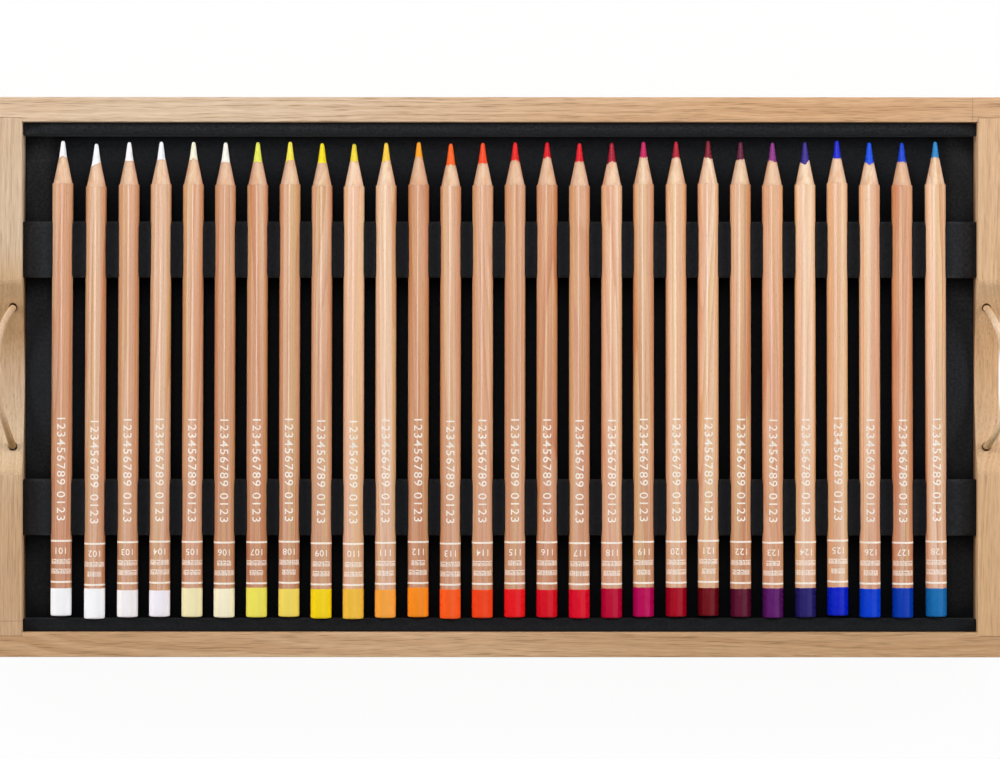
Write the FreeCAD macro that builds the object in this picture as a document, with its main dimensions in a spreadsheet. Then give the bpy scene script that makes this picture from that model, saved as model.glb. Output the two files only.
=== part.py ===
import FreeCAD, Part
import math
import os
import re

import Sketcher

# Pencil tray: an open oak tray with a black foam insert that holds a row of coloured pencils, and a cord
# loop on each end wall. Millimetres, +X along the row of pencils, +Y from the pencils' tails to their tips,
# +Z up, origin at the middle of the tray's underside.

DRIVING_SIZES = {
    # Oak tray.
    "wall_height": 26.0,
    "wall_thickness": 9.2,
    "housing_depth": 1.5,  # how far the end walls are let into the long rails
    "panel_thickness": 4.0,
    "panel_rise": 2.5,  # the bottom panel's underside above the tray's underside
    "panel_groove": 4.0,  # depth of the groove in each rail that holds the panel
    # Finger scoops and cord loops in the end walls.
    "scoop_depth": 10.4,
    "scoop_chord": 72.8,
    "hole_spacing": 51.6,
    "hole_inset": 3.9,  # the holes' axes from the end wall's inner face
    "hole_diameter": 3.2,
    "knot_bore": 6.2,
    "knot_bore_depth": 8.0,
    "knot_diameter": 5.2,
    "knot_height": 4.2,
    "knot_rounding": 1.4,
    "cord_diameter": 2.4,
    "cord_offset": 0.3,  # the cord leans on the side of its hole nearest the scoop's middle
    "cord_gap": 0.3,  # between the loop's round end and the anchored end below it
    "pivot_rise": 1.45,  # where the loop bends, above the mouth of its hole
    "loop_lean": 21.0,  # degrees outward from upright
    # Foam insert.
    "foam_thickness": 8.0,
    "lip_width": 4.8,
    "tail_well": 30.9,
    "rest_width": 20.8,
    "middle_well": 74.8,
    "pencil_gap": 3.55,  # the pencils' undersides above the base sheet
    "notch_depth": 4.35,
    "notch_clearance": 0.2,  # each side of a barrel
    # Pencils and their room in the tray.
    "pencil_count": 28,
    "pencil_pitch": 12.0,
    "first_margin": 14.2,  # the first pencil's axis from the left end wall
    "last_margin": 15.5,  # the last pencil's axis from the right end wall
    "tail_clearance": 0.3,
    "tip_clearance": 2.6,
    "pencil_length": 176.3,
    "barrel_flats": 7.4,
    "barrel_rounding": 1.3,
    "cone_length": 16.0,
    "wood_edge": 0.1,  # thickness of the wood where the lead comes out of it
    "lead_diameter": 3.4,
    "lead_point": 6.6,  # length of sharpened lead
    "point_diameter": 1.4,
    "point_rounding": 0.5,
    "lead_cover": 1.5,  # wood and paint behind the lead's tail end
    "cap_length": 10.6,
    "cap_coat": 0.06,
    "cap_rounding": 0.6,
}

DERIVED_SIZES = {
    "inner_length": "first_margin + (pencil_count - 1) * pencil_pitch + last_margin",
    "inner_width": "2 * lip_width + tail_clearance + pencil_length + tip_clearance",
    "outer_length": "inner_length + 2 * wall_thickness",
    "rail_middle": "inner_width / 2 + wall_thickness / 2",
    "end_middle": "inner_length / 2 + wall_thickness / 2",
    "hole_line": "inner_length / 2 + hole_inset",
    "foam_floor": "panel_rise + panel_thickness",
    "foam_top": "foam_floor + foam_thickness",
    "notch_floor": "foam_top + pencil_gap",
    "rest_height": "pencil_gap + notch_depth",
    "barrel_corners": "2 * barrel_flats / sqrt(3)",
    "corner_reach": "barrel_corners / 2 - (2 / sqrt(3) - 1) * barrel_rounding",
    "notch_width": "2 * (corner_reach + notch_clearance)",
    "pencil_axis_height": "notch_floor + barrel_flats / 2",
    "pencil_tail": "-inner_width / 2 + lip_width + tail_clearance",
    "first_pencil": "-inner_length / 2 + first_margin",
    "tail_rest_start": "-inner_width / 2 + lip_width + tail_well",
    "tip_rest_start": "tail_rest_start + rest_width + middle_well",
    "wood_length": "pencil_length - lead_point",
    "cone_start": "pencil_length - cone_length",
    "scoop_radius": "(scoop_chord ^ 2 / 4 + scoop_depth ^ 2) / (2 * scoop_depth)",
    "scoop_centre": "wall_height - scoop_depth + scoop_radius",
    "mouth_height": "scoop_centre - sqrt(scoop_radius ^ 2 - hole_spacing ^ 2 / 4)",
    "pivot_height": "mouth_height + pivot_rise",
    "cord_half_span": "hole_spacing / 2 - cord_offset",
    "anchor_top": "pivot_height - cord_diameter / 2 - cord_gap",
}

# Each cord loop's route between its two bends, in the plane of the loop: along the wall, then up.
LEFT_LOOP = [(-18.4, 5.2), (-8.1, 12.0), (12.1, 12.5), (22.4, 5.2)]
RIGHT_LOOP = [(-20.5, 8.6), (-12.0, 12.4), (12.0, 12.4), (21.6, 5.4)]

OVERSHOOT = 2.0  # how far a cutting tool runs past the faces it cuts
ARC_SHARE = 0.45  # of the shorter run beside a bend, taken by the bend's arc
TOUCH = 0.01  # points closer than this are at the same place
TURN_TO_Y = FreeCAD.Rotation(FreeCAD.Vector(1, 0, 0), -90)  # local Z, a pencil's axis, to +Y
TURN_TO_X = FreeCAD.Rotation(FreeCAD.Vector(0, 1, 0), 90)  # local Z, a cylinder's axis, to +X


def add_sheet(doc):
    """The spreadsheet of sizes: one row each, driving sizes first and the ones worked out from them after."""
    sheet = doc.addObject("Spreadsheet::Sheet", "Sizes")
    formulas = {name: f"={formula}" for name, formula in DERIVED_SIZES.items()}
    for row, (name, content) in enumerate({**DRIVING_SIZES, **formulas}.items(), start=1):
        sheet.set(f"A{row}", name)
        sheet.set(f"B{row}", str(content))
        sheet.setAlias(f"B{row}", name)
    doc.recompute()
    return sheet


def from_sheet(expression):
    """The expression with each size's name pointing at its cell in the sheet."""
    names = {**DRIVING_SIZES, **DERIVED_SIZES}
    return re.sub("[a-z_]+", lambda word: f"Sizes.{word[0]}" if word[0] in names else word[0], expression)


def bind(obj, **expressions):
    """Ties properties to the sheet. x, y and z are the object's place."""
    for name, expression in expressions.items():
        path = f"Placement.Base.{name}" if name in ("x", "y", "z") else name
        obj.setExpression(path, from_sheet(expression))


def add_box(doc, name, size, centre, bottom):
    """A box from its sizes along X, Y and Z, its middle in plan and the height of its underside."""
    box = doc.addObject("Part::Box", name)
    length, width, height = size
    across, along = centre
    bind(box, Length=length, Width=width, Height=height)
    bind(box, x=f"{across} - ( {length} ) / 2", y=f"{along} - ( {width} ) / 2", z=bottom)
    return box


def add_cylinder(doc, name, radius, height, place, turn=None):
    """A cylinder from the middle of its first end, along +Z or the way that turn points it."""
    cylinder = doc.addObject("Part::Cylinder", name)
    if turn:
        cylinder.Placement.Rotation = turn
    bind(cylinder, Radius=radius, Height=height, x=place[0], y=place[1], z=place[2])
    return cylinder


def add_cut(doc, name, base, tools):
    """The base with every tool cut away."""
    fused = doc.addObject("Part::MultiFuse", f"{name}_tools")
    fused.Shapes = tools
    result = doc.addObject("Part::Cut", name)
    result.Base = base
    result.Tool = fused
    return result


def add_compound(doc, name, solids):
    """Solids kept side by side as one sub-part."""
    compound = doc.addObject("Part::Compound", name)
    compound.Links = solids
    return compound


def add_rail(doc, name, side):
    """A long rail with its panel groove and a housing at each end; side is 1 for +Y and -1 for -Y."""
    bar = add_box(
        doc,
        f"{name}_bar",
        ("outer_length", "wall_thickness", "wall_height"),
        ("0", f"{side} * rail_middle"),
        "0",
    )
    groove = add_box(
        doc,
        f"{name}_groove",
        ("inner_length", "2 * panel_groove", "panel_thickness"),
        ("0", f"{side} * inner_width / 2"),
        "panel_rise",
    )
    housings = [
        add_box(
            doc,
            f"{name}_{end_name}_housing",
            ("wall_thickness", "2 * housing_depth", f"wall_height + {2 * OVERSHOOT}"),
            (f"{end} * end_middle", f"{side} * inner_width / 2"),
            f"-{OVERSHOOT}",
        )
        for end_name, end in (("left", -1), ("right", 1))
    ]
    return add_cut(doc, name, bar, [groove, *housings])


def add_end_wall(doc, name, end):
    """An end wall with its finger scoop and two cord holes, each with a wide bore below for the knot."""
    board = add_box(
        doc,
        f"{name}_board",
        ("wall_thickness", "inner_width + 2 * housing_depth", "wall_height"),
        (f"{end} * end_middle", "0"),
        "0",
    )
    scoop = add_cylinder(
        doc,
        f"{name}_scoop",
        "scoop_radius",
        f"wall_thickness + {2 * OVERSHOOT}",
        (f"{end} * end_middle - wall_thickness / 2 - {OVERSHOOT}", "0", "scoop_centre"),
        TURN_TO_X,
    )
    tools = [scoop]
    for hole_name, side in (("front", -1), ("back", 1)):
        across = f"{end} * hole_line"
        along = f"{side} * hole_spacing / 2"
        hole = add_cylinder(
            doc, f"{name}_{hole_name}_hole", "hole_diameter / 2", "wall_height", (across, along, "0")
        )
        bore = add_cylinder(
            doc,
            f"{name}_{hole_name}_bore",
            "knot_bore / 2",
            f"knot_bore_depth + {OVERSHOOT}",
            (across, along, f"-{OVERSHOOT}"),
        )
        tools += [hole, bore]
    return add_cut(doc, name, board, tools)


def add_tray(doc):
    """The oak tray: two long rails, two end walls and the bottom panel in the rails' grooves."""
    rails = [add_rail(doc, "back_rail", 1), add_rail(doc, "front_rail", -1)]
    ends = [add_end_wall(doc, "left_end_wall", -1), add_end_wall(doc, "right_end_wall", 1)]
    panel = add_box(
        doc,
        "bottom_panel",
        ("inner_length", "inner_width + 2 * panel_groove", "panel_thickness"),
        ("0", "0"),
        "panel_rise",
    )
    return [*rails, *ends, panel]


def add_rest(doc, name, start):
    """A foam rest: a strip under the pencils and, on it, the foam fingers between the notches."""
    middle = f"{start} + rest_width / 2"
    blocks = [
        add_box(doc, f"{name}_strip", ("inner_length", "rest_width", "pencil_gap"), ("0", middle), "foam_top")
    ]
    last = DRIVING_SIZES["pencil_count"] - 1
    for gap in range(DRIVING_SIZES["pencil_count"] + 1):
        if gap == 0:
            width = "first_margin - notch_width / 2"
            centre = "-inner_length / 2 + first_margin / 2 - notch_width / 4"
        elif gap > last:
            width = "last_margin - notch_width / 2"
            centre = "inner_length / 2 - last_margin / 2 + notch_width / 4"
        else:
            width = "pencil_pitch - notch_width"
            centre = f"first_pencil + {gap} * pencil_pitch - pencil_pitch / 2"
        finger = (width, "rest_width", "notch_depth")
        blocks.append(add_box(doc, f"{name}_finger_{gap:02d}", finger, (centre, middle), "notch_floor"))
    return add_compound(doc, name, blocks)


def add_foam(doc):
    """The foam insert: a base sheet, a lip at each end of the pencils and two notched rests."""
    base = add_box(
        doc, "foam_base", ("inner_length", "inner_width", "foam_thickness"), ("0", "0"), "foam_floor"
    )
    lips = [
        add_box(
            doc,
            name,
            ("inner_length", "lip_width", "rest_height"),
            ("0", f"{side} * ( inner_width / 2 - lip_width / 2 )"),
            "foam_top",
        )
        for name, side in (("tail_lip", -1), ("tip_lip", 1))
    ]
    rests = [add_rest(doc, "tail_rest", "tail_rest_start"), add_rest(doc, "tip_rest", "tip_rest_start")]
    return [base, *lips, *rests]


def origin_feature(body, role):
    """A plane or axis of the body's own origin."""
    return next(f for f in body.Origin.OriginFeatures if f.Role == role)


def add_sketch(body, name, role):
    """An empty sketch on one of the body's origin planes."""
    sketch = body.newObject("Sketcher::SketchObject", name)
    sketch.AttachmentSupport = [(origin_feature(body, role), "")]
    sketch.MapMode = "FlatFace"
    return sketch


def add_hexagon(body, name, corners):
    """A sketch of a regular hexagon round the origin with a corner on the X axis; corners is its width."""
    sketch = add_sketch(body, name, "XY_Plane")
    radius = body.Document.Sizes.barrel_corners / 2
    points = [
        FreeCAD.Vector(radius * math.cos(math.radians(a)), radius * math.sin(math.radians(a)), 0)
        for a in range(0, 360, 60)
    ]
    for start, end in zip(points, points[1:] + points[:1]):
        sketch.addGeometry(Part.LineSegment(start, end), False)
    circle = sketch.addGeometry(Part.Circle(FreeCAD.Vector(), FreeCAD.Vector(0, 0, 1), radius), True)
    sketch.addConstraint(Sketcher.Constraint("Coincident", circle, 3, -1, 1))
    for side in range(6):
        sketch.addConstraint(Sketcher.Constraint("Coincident", side, 2, (side + 1) % 6, 1))
        sketch.addConstraint(Sketcher.Constraint("PointOnObject", side, 1, circle))
        if side:
            sketch.addConstraint(Sketcher.Constraint("Equal", 0, side))
    sketch.addConstraint(Sketcher.Constraint("PointOnObject", 0, 1, -1))
    size = sketch.addConstraint(Sketcher.Constraint("Diameter", circle, 2 * radius))
    sketch.setExpression(f"Constraints[{size}]", from_sheet(corners))
    return sketch


def add_profile(body, name, corners):
    """A sketch of half a round section: (radius, height) pairs, as expressions, joined by straight lines."""
    sketch = add_sketch(body, name, "XZ_Plane")
    points = [
        FreeCAD.Vector(*[sketch.evalExpression(from_sheet(part)) for part in corner], 0) for corner in corners
    ]
    for start, end in zip(points, points[1:] + points[:1]):
        sketch.addGeometry(Part.LineSegment(start, end), False)
    for index, (radius, height) in enumerate(corners):
        sketch.addConstraint(Sketcher.Constraint("Coincident", index, 2, (index + 1) % len(corners), 1))
        for kind, expression in (("DistanceX", radius), ("DistanceY", height)):
            value = points[index].x if kind == "DistanceX" else points[index].y
            size = sketch.addConstraint(Sketcher.Constraint(kind, -1, 1, index, 1, value))
            sketch.setExpression(f"Constraints[{size}]", from_sheet(expression))
    return sketch


def add_pad(body, name, sketch, length):
    """The sketch raised along its normal."""
    pad = body.newObject("PartDesign::Pad", name)
    pad.Profile = sketch
    bind(pad, Length=length)
    body.Document.recompute()
    return pad


def add_turned(body, kind, name, sketch):
    """The profile turned about the body's Z axis, to add material or cut it away."""
    turned = body.newObject(f"PartDesign::{kind}", name)
    turned.Profile = sketch
    turned.ReferenceAxis = (sketch, ["V_Axis"])
    turned.Angle = 360.0
    body.Document.recompute()
    return turned


def add_fillet(body, name, radius, wanted):
    """A fillet on every edge of the body's last feature that wanted picks."""
    base = body.Tip
    edges = [f"Edge{i}" for i, edge in enumerate(base.Shape.Edges, start=1) if wanted(edge)]
    fillet = body.newObject("PartDesign::Fillet", name)
    fillet.Base = (base, edges)
    bind(fillet, Radius=radius)
    body.Document.recompute()
    return fillet


def runs_along_axis(edge):
    """True for a straight edge along the pencil, from end to end of a hexagonal length."""
    first, last = edge.Vertexes[0].Point, edge.Vertexes[-1].Point
    return abs(last.z - first.z) > TOUCH and math.hypot(last.x - first.x, last.y - first.y) < TOUCH


def add_barrel(doc):
    """The cedar barrel: a soft hexagon with a dipped cap, a bore for the lead and a sharpened cone."""
    body = doc.addObject("PartDesign::Body", "pencil_barrel")
    add_pad(body, "BarrelPad", add_hexagon(body, "BarrelSection", "barrel_corners"), "wood_length")
    add_fillet(body, "BarrelRounding", "barrel_rounding", runs_along_axis)
    cap_corners = "2 * ( barrel_flats + 2 * cap_coat ) / sqrt(3)"
    add_pad(body, "CapPad", add_hexagon(body, "CapSection", cap_corners), "cap_length")
    cap_corner = doc.Sizes.barrel_corners / 2
    add_fillet(
        body,
        "CapRounding",
        "barrel_rounding + cap_coat",
        lambda edge: runs_along_axis(edge) and math.hypot(*edge.Vertexes[0].Point[:2]) > cap_corner,
    )
    add_fillet(
        body, "CapEnd", "cap_rounding", lambda edge: all(abs(v.Point.z) < TOUCH for v in edge.Vertexes)
    )
    cone = add_profile(
        body,
        "ConeCut",
        [
            ("lead_diameter / 2 + wood_edge", "wood_length"),
            ("corner_reach", "cone_start"),
            (f"corner_reach + {OVERSHOOT}", "cone_start"),
            (f"corner_reach + {OVERSHOOT}", "wood_length"),
        ],
    )
    add_turned(body, "Groove", "Cone", cone)
    bore = add_profile(
        body,
        "LeadBoreCut",
        [
            ("0", "lead_cover"),
            ("lead_diameter / 2", "lead_cover"),
            ("lead_diameter / 2", f"wood_length + {OVERSHOOT}"),
            ("0", f"wood_length + {OVERSHOOT}"),
        ],
    )
    add_turned(body, "Groove", "LeadBore", bore)
    return body


def add_lead(doc):
    """The lead: a rod through the barrel with its sharpened, slightly blunt point."""
    body = doc.addObject("PartDesign::Body", "pencil_lead")
    rod = add_profile(
        body,
        "LeadProfile",
        [
            ("0", "lead_cover"),
            ("lead_diameter / 2", "lead_cover"),
            ("lead_diameter / 2", "wood_length"),
            ("point_diameter / 2", "pencil_length"),
            ("0", "pencil_length"),
        ],
    )
    add_turned(body, "Revolution", "LeadRod", rod)
    tip = doc.Sizes.pencil_length
    add_fillet(
        body,
        "PointRounding",
        "point_rounding",
        lambda edge: edge.Curve.TypeId == "Part::GeomCircle" and abs(edge.Vertexes[0].Point.z - tip) < TOUCH,
    )
    return body


def add_pencils(doc):
    """The row of pencils, each a barrel and its lead, lying in the rests with a flat side up."""
    solids = [add_barrel(doc), add_lead(doc)]
    pencils = []
    for index in range(DRIVING_SIZES["pencil_count"]):
        pencil = add_compound(doc, f"pencil_{index + 1:02d}", solids)
        pencil.Placement.Rotation = TURN_TO_Y
        bind(pencil, x=f"first_pencil + {index} * pencil_pitch", y="pencil_tail", z="pencil_axis_height")
        pencils.append(pencil)
    return pencils


def add_shape(doc, name, shape):
    """A sub-part whose shape is worked out here from the sheet's values."""
    feature = doc.addObject("Part::Feature", name)
    feature.Shape = shape
    return feature


def rounded_wire(points):
    """Straight runs joined by tangent arcs."""
    edges = []
    here = points[0]
    for before, corner, after in zip(points, points[1:], points[2:]):
        back = (before - corner).normalize()
        ahead = (after - corner).normalize()
        reach = ARC_SHARE * min((before - corner).Length, (after - corner).Length)
        half_turn = (math.pi - back.getAngle(ahead)) / 2
        radius = reach / math.tan(half_turn)
        first = corner + back * reach
        last = corner + ahead * reach
        inward = (back + ahead).normalize()
        middle = corner + inward * (radius / math.cos(half_turn) - radius)
        edges += [Part.LineSegment(here, first).toShape(), Part.Arc(first, middle, last).toShape()]
        here = last
    edges.append(Part.LineSegment(here, points[-1]).toShape())
    return Part.Wire(edges)


def add_loop(doc, name, end, route):
    """A cord loop's free part: a tube along its route with a round end at each bend."""
    sizes = doc.Sizes
    lean = math.radians(sizes.loop_lean)
    radius = sizes.cord_diameter / 2
    flat = [(-sizes.cord_half_span, 0.0), *route, (sizes.cord_half_span, 0.0)]
    points = [
        FreeCAD.Vector(
            end * (sizes.hole_line + up * math.sin(lean)), along, sizes.pivot_height + up * math.cos(lean)
        )
        for along, up in flat
    ]
    section = Part.Wire(Part.makeCircle(radius, points[0], points[1] - points[0]))
    tube = rounded_wire(points).makePipeShell([section], True, False)
    ends = [Part.makeSphere(radius, point) for point in (points[0], points[-1])]
    return add_shape(doc, name, tube.multiFuse(ends).removeSplitter())


def add_anchor(doc, name, end, side):
    """A cord's anchored end: straight up its hole from a knot that sits in the wide bore."""
    sizes = doc.Sizes
    place = FreeCAD.Vector(end * sizes.hole_line, side * sizes.cord_half_span, 0)
    up = FreeCAD.Vector(0, 0, 1)
    knot_top = place + up * sizes.knot_bore_depth
    knot_bottom = knot_top - up * sizes.knot_height
    stem = Part.makeCylinder(
        sizes.cord_diameter / 2, sizes.anchor_top - knot_bottom.z, FreeCAD.Vector(*knot_bottom), up
    )
    knot = Part.makeCylinder(sizes.knot_diameter / 2, sizes.knot_height, knot_bottom, up)
    knot = knot.makeFillet(sizes.knot_rounding, [e for e in knot.Edges if len(e.Vertexes) == 1])
    return add_shape(doc, name, stem.fuse(knot).removeSplitter())


def add_cords(doc):
    """Both cord loops and the four anchored ends that they bend from."""
    cords = []
    for end_name, end, route in (("left", -1, LEFT_LOOP), ("right", 1, RIGHT_LOOP)):
        cords.append(add_loop(doc, f"{end_name}_cord_loop", end, route))
        for side_name, side in (("front", -1), ("back", 1)):
            cords.append(add_anchor(doc, f"{end_name}_cord_{side_name}_end", end, side))
    return cords


def check(doc, parts):
    """Stops if any object failed to recompute or a sub-part has no valid solid."""
    for obj in doc.Objects:
        if {"Invalid", "Error"} & set(obj.State):
            raise RuntimeError(f"{obj.Name} failed to recompute")
    for part in parts:
        if part.Shape.isNull() or not part.Shape.isValid() or not part.Shape.Solids:
            raise RuntimeError(f"{part.Label} has no valid shape")


def main():
    doc = FreeCAD.newDocument("pencil_tray")
    add_sheet(doc)
    parts = [*add_tray(doc), *add_foam(doc), *add_pencils(doc), *add_cords(doc)]
    doc.recompute()
    check(doc, parts)
    os.makedirs("parts", exist_ok=True)
    for part in parts:
        part.Shape.exportStep(f"parts/{part.Label}.step")
    print(len(parts), "sub-parts written")


main()
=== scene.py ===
import math
import random

import bmesh
import bpy
from mathutils import Euler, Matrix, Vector, noise


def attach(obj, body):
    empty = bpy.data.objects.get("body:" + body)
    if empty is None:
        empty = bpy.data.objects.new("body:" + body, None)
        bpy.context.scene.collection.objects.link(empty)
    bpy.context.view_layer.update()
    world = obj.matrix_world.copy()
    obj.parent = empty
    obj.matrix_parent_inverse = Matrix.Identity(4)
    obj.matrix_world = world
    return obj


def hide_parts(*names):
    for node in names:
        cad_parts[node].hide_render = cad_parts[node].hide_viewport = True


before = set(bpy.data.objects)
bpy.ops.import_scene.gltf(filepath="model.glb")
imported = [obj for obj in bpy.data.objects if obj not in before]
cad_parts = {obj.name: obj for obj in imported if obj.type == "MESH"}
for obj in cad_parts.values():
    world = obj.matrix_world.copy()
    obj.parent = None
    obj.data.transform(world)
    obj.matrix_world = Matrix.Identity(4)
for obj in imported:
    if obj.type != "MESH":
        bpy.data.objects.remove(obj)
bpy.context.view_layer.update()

MM = 0.001

# Sizes of the part, in millimetres, in the row frame: +X along the row, +Y to the pencils' tips, +Z up.
# The tray's inside, and the cords' holes, loops and knots.
INNER_X = 176.85
INNER_Y = 94.4
HOLE_LINE = 180.75
PIVOT_HEIGHT = 22.06
CORD_HALF_SPAN = 25.5
CORD_RADIUS = 1.25
LOOP_LEAN = 21.0
KNOT_HEIGHT = 5.2
# The foam's sheet, lips and rests. The last two are how deep the lips and rests stand in the sheet.
FOAM_BOTTOM = 6.5
FOAM_TOP = 14.5
NOTCH_FLOOR = 18.05
NOTCH_HALF_WIDTH = 4.12
REST_TOP = 22.4
LIP_WIDTH = 4.8
TIP_REST = (36.9, 57.7)
TAIL_REST = (-58.7, -37.9)
LIP_SINK = 0.2
REST_SINK = 0.3
# The pencils. Places along one are distances from its tail.
PENCIL_PITCH = 12.0
FIRST_PENCIL = -162.65
PENCIL_TAIL = -89.3
PENCIL_AXIS = 21.75
PENCIL_LENGTH = 176.3
APOTHEM = 3.65
ROUNDING = 1.7
FULLNESS = 0.10
BARREL_START = 4.0
CAP_TRIM = 0.22
CAP_COAT = 0.06
# The sharpened cone as (place, radius): its start at the corners, its shoulder, a bend, and the point.
CONE_START = 160.2
CONE_SHOULDER = 160.75
CONE = [(CONE_START, 3.95), (CONE_SHOULDER, 3.44), (169.7, 1.58), (PENCIL_LENGTH, 0.70)]
# The cap's tail end: place past CAP_TRIM and how wide it is there, as a share.
CAP_END = [
    (-0.16, 0.20), (-0.12, 0.55), (0.0, 0.86), (0.03, 0.905), (0.12, 0.945), (0.28, 0.975), (0.48, 0.993),
    (0.75, 1.0), (1.2, 1.0), (6.0, 1.0),
]
# The lead begins inside the wood, and further on it follows the cone, a little inside it, in these steps.
LEAD_START = (160.0, 1.2)
LEAD_SHOWS = 166.5
LEAD_STEP = 0.7
LEAD_INSET = 0.07
TIP_RADIUS = 0.62
TIP_ROUNDING = 0.5

# Each cord loop: its side, its route between its bends (along the wall, then up in its plane), its length.
LOOPS = {
    "left": (-1, [(-18.4, 5.2), (-8.1, 12.0), (12.1, 12.5), (22.4, 5.2)], 59.0),
    "right": (1, [(-20.5, 8.6), (-12.0, 12.4), (12.0, 12.4), (21.6, 5.4)], 60.5),
}

# One row per pencil: cap colour and lead colour (sRGB), length of bare lead at its left, middle and right,
# how deep and how red its cedar is (0 to 1), how far it lies to the right of its even place, how far it has
# slid towards the tip end, and how long its dipped cap is. Lengths are in mm.
PENCILS = [
    ((250, 250, 252), (252, 252, 254), (6.5, 5.5, 6.5), (0.8, 0.75), 0.3, 0.6, 10.5),
    ((250, 250, 252), (250, 250, 252), (8.6, 7.7, 7.0), (0.8, 0.45), 0.7, -0.5, 11.5),
    ((246, 241, 242), (252, 250, 250), (7.0, 7.1, 6.9), (0.8, 0.20), 0.9, 0.1, 10.3),
    ((244, 238, 246), (250, 250, 254), (6.8, 6.8, 6.8), (0.7, 0.55), 0.8, 0.3, 10.0),
    ((243, 232, 184), (252, 248, 222), (6.9, 6.1, 6.9), (0.6, 0.35), 0.8, 0.2, 11.0),
    ((249, 240, 208), (252, 248, 238), (7.5, 7.4, 7.5), (1.0, 0.30), 0.7, 0.0, 11.0),
    ((238, 226, 92), (232, 234, 92), (7.4, 7.4, 7.4), (0.9, 0.55), 0.7, 0.1, 11.2),
    ((242, 216, 96), (244, 228, 78), (7.7, 6.8, 6.9), (0.9, 0.45), 0.7, 0.3, 10.6),
    ((246, 212, 22), (250, 228, 16), (7.2, 7.4, 7.3), (0.9, 0.50), 0.6, -0.3, 11.1),
    ((242, 190, 66), (244, 218, 56), (6.6, 6.5, 6.6), (0.0, 0.10), 0.5, -0.5, 11.4),
    ((250, 166, 66), (250, 204, 66), (7.1, 6.8, 6.4), (0.3, 0.30), 0.4, -0.1, 10.7),
    ((248, 140, 30), (252, 164, 26), (6.0, 5.2, 6.2), (1.0, 0.45), 0.5, 0.2, 11.2),
    ((250, 92, 30), (252, 100, 26), (8.4, 7.7, 8.1), (0.7, 0.60), 0.4, -0.4, 11.1),
    ((240, 68, 26), (246, 74, 28), (7.7, 7.6, 7.7), (0.6, 0.50), 0.3, -0.1, 10.7),
    ((230, 24, 30), (232, 36, 32), (7.0, 6.5, 7.4), (0.8, 0.65), 0.3, 0.1, 10.7),
    ((214, 14, 34), (220, 18, 32), (6.2, 5.2, 5.9), (0.7, 0.70), 0.2, 0.1, 10.5),
    ((218, 12, 40), (226, 22, 40), (7.0, 6.9, 7.0), (0.8, 0.45), 0.2, -0.2, 10.9),
    ((186, 6, 52), (172, 16, 48), (8.0, 6.7, 7.3), (0.2, 0.65), 0.2, -0.1, 11.2),
    ((184, 4, 84), (198, 32, 94), (5.9, 5.8, 5.6), (0.7, 0.35), 0.0, 0.3, 11.2),
    ((164, 4, 32), (180, 28, 52), (6.5, 5.8, 6.3), (0.2, 0.60), 0.1, 0.4, 11.0),
    ((110, 10, 22), (130, 26, 44), (6.2, 6.2, 6.9), (0.2, 0.45), 0.0, 0.7, 10.6),
    ((92, 16, 46), (100, 28, 58), (6.9, 6.5, 6.6), (0.8, 0.50), 0.0, 0.3, 10.7),
    ((92, 24, 102), (142, 52, 134), (6.7, 6.8, 7.4), (0.4, 0.60), -0.1, 0.0, 11.2),
    ((40, 32, 106), (60, 42, 144), (7.7, 8.3, 6.6), (0.1, 0.40), 0.0, 0.2, 11.1),
    ((8, 34, 196), (28, 40, 206), (6.6, 6.5, 6.6), (0.2, 0.30), -0.1, 0.8, 10.8),
    ((6, 62, 206), (16, 80, 228), (7.4, 8.3, 7.4), (0.4, 0.50), -0.1, 0.1, 10.9),
    ((6, 58, 176), (8, 66, 208), (7.2, 7.1, 7.3), (0.8, 0.95), 0.0, 0.0, 11.3),
    ((22, 108, 176), (44, 138, 206), (6.1, 5.7, 6.3), (0.3, 0.65), 0.4, 0.4, 10.8),
]
# The pencils fan out a little: the lean of the first one and the change from one to the next, in degrees.
FIRST_LEAN = 0.24
LEAN_STEP = -0.0148
# They roll a little too, from one side of the tray to the other.
FIRST_ROLL = 2.2
ROLL_STEP = -0.18

# Print on a barrel (mm).
LINE_PLACES = (12.85, 28.05)
LINE_WIDTH = 0.70
DIGITS = "123456789 0123"
DIGITS_PLACE = 54.6
DIGITS_LENGTH = 38.0
DIGITS_HEIGHT = 3.1
DIGITS_SPACING = 1.15
NUMBER_PLACE = 24.4
NUMBER_HEIGHT = 2.4
NUMBER_SPACING = 1.05
FIRST_NUMBER = 101
MARK_ROWS = (20.4, 16.8)
MARK_HEIGHT = 1.9
# Ink stands this much over the barrel and reaches this much into it.
PRINT_LIFT = 0.025
PRINT_SINK = 0.03
# Digits are cut into strips this wide across the barrel, so that they bend with it, and strokes likewise.
STRIP_WIDTH = 0.56
STROKE_STRIP = 0.6
# Strokes of the digits grow by this much of the font's unit on each side.
BOLDER = 0.004


def linear(colour):
    """An sRGB colour, 0 to 255, as linear RGBA."""
    channels = [c / 255 for c in colour]
    return [c / 12.92 if c <= 0.04045 else ((c + 0.055) / 1.055) ** 2.4 for c in channels] + [1.0]


# -------- materials


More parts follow.
